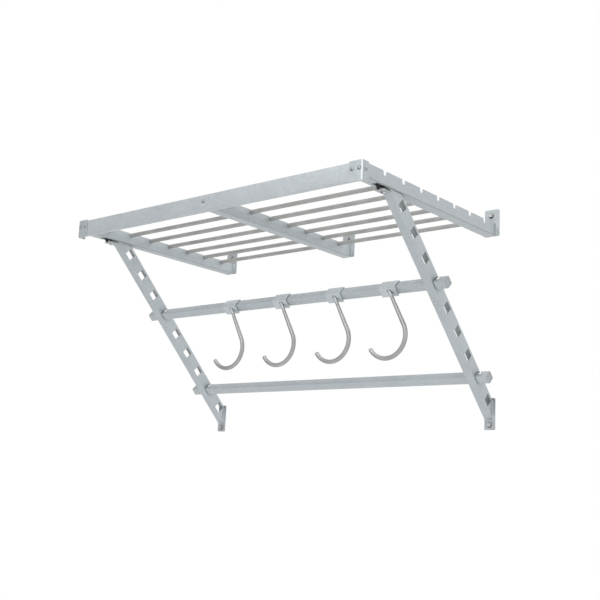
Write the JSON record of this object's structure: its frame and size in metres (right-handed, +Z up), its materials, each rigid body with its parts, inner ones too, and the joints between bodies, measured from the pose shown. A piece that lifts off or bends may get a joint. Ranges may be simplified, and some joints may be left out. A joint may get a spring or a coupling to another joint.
{
  "type": "wall mounted drying rack",
  "caption": "Wall rack with a shelf of round rods on notched arms, slanting perforated struts, square bars set edge up and sliding round-wire hooks.",
  "frame": {"origin": "on the back of the middle arm's wall plate, in the plane of the wall, at mid height of the arm", "axes": "+X to the right along the wall for someone facing it, +Y into the wall, +Z up"},
  "size_m": [0.9026, 0.5223, 0.5038],
  "materials": {
    "galvanised_sheet": "satin galvanised",
    "round_wire": "satin zinc, slightly warmer",
    "zinc_fastener": "bright zinc",
    "end_plug": "grey moulded plastic",
    "black_plug": "black moulded plastic"
  },
  "bodies": {
    "frame": {"arm_left": "galvanised_sheet", "arm_middle": "galvanised_sheet", "arm_right": "galvanised_sheet", "front_rail": "galvanised_sheet", "corner_cap_left": "galvanised_sheet", "corner_cap_right": "galvanised_sheet", "rail_rivet_middle": "zinc_fastener", "cap_rivet_outer_left": "zinc_fastener", "cap_rivet_inner_left": "zinc_fastener", "cap_rivet_side_left": "zinc_fastener", "cap_rivet_outer_right": "zinc_fastener", "cap_rivet_inner_right": "zinc_fastener", "cap_rivet_side_right": "zinc_fastener", "shelf_rod_1": "round_wire", "shelf_rod_2": "round_wire", "shelf_rod_3": "round_wire", "shelf_rod_4": "round_wire", "shelf_rod_5": "round_wire", "shelf_rod_6": "round_wire", "shelf_rod_7": "round_wire", "strut_left": "galvanised_sheet", "strut_right": "galvanised_sheet", "strut_bolt_left": "zinc_fastener", "strut_bolt_right": "zinc_fastener", "strut_spacer_nut_left": "zinc_fastener", "strut_spacer_nut_right": "zinc_fastener", "strut_lock_nut_left": "zinc_fastener", "strut_lock_nut_right": "zinc_fastener", "arm_wall_screw_left": "zinc_fastener", "arm_wall_screw_middle": "zinc_fastener", "arm_wall_screw_right": "zinc_fastener", "strut_wall_screw_left": "zinc_fastener", "strut_wall_screw_right": "zinc_fastener", "upper_bar": "galvanised_sheet", "upper_bar_plug_left": "end_plug", "upper_bar_plug_right": "end_plug", "upper_bar_lock_screw_left": "zinc_fastener", "upper_bar_lock_screw_right": "zinc_fastener", "lower_bar": "galvanised_sheet", "lower_bar_plug_left": "end_plug", "lower_bar_plug_right": "end_plug", "lower_bar_lock_screw_left": "zinc_fastener", "lower_bar_lock_screw_right": "zinc_fastener", "slot_plug_left": "black_plug", "slot_plug_right": "black_plug"},
    "hook_1": {"hook_clamp_1": "galvanised_sheet", "hook_wire_1": "round_wire"},
    "hook_2": {"hook_clamp_2": "galvanised_sheet", "hook_wire_2": "round_wire"},
    "hook_3": {"hook_clamp_3": "galvanised_sheet", "hook_wire_3": "round_wire"},
    "hook_4": {"hook_clamp_4": "galvanised_sheet", "hook_wire_4": "round_wire"}
  },
  "joints": [
    {"name": "hook_1_slide", "type": "slide", "parent": "frame", "child": "hook_1", "axis": [1, 0, 0], "range_m": [-0.2, 0.027]},
    {"name": "hook_2_slide", "type": "slide", "parent": "frame", "child": "hook_2", "axis": [1, 0, 0], "range_m": [-0.027, 0.026]},
    {"name": "hook_3_slide", "type": "slide", "parent": "frame", "child": "hook_3", "axis": [1, 0, 0], "range_m": [-0.026, 0.021]},
    {"name": "hook_4_slide", "type": "slide", "parent": "frame", "child": "hook_4", "axis": [1, 0, 0], "range_m": [-0.021, 0.068]}
  ]
}
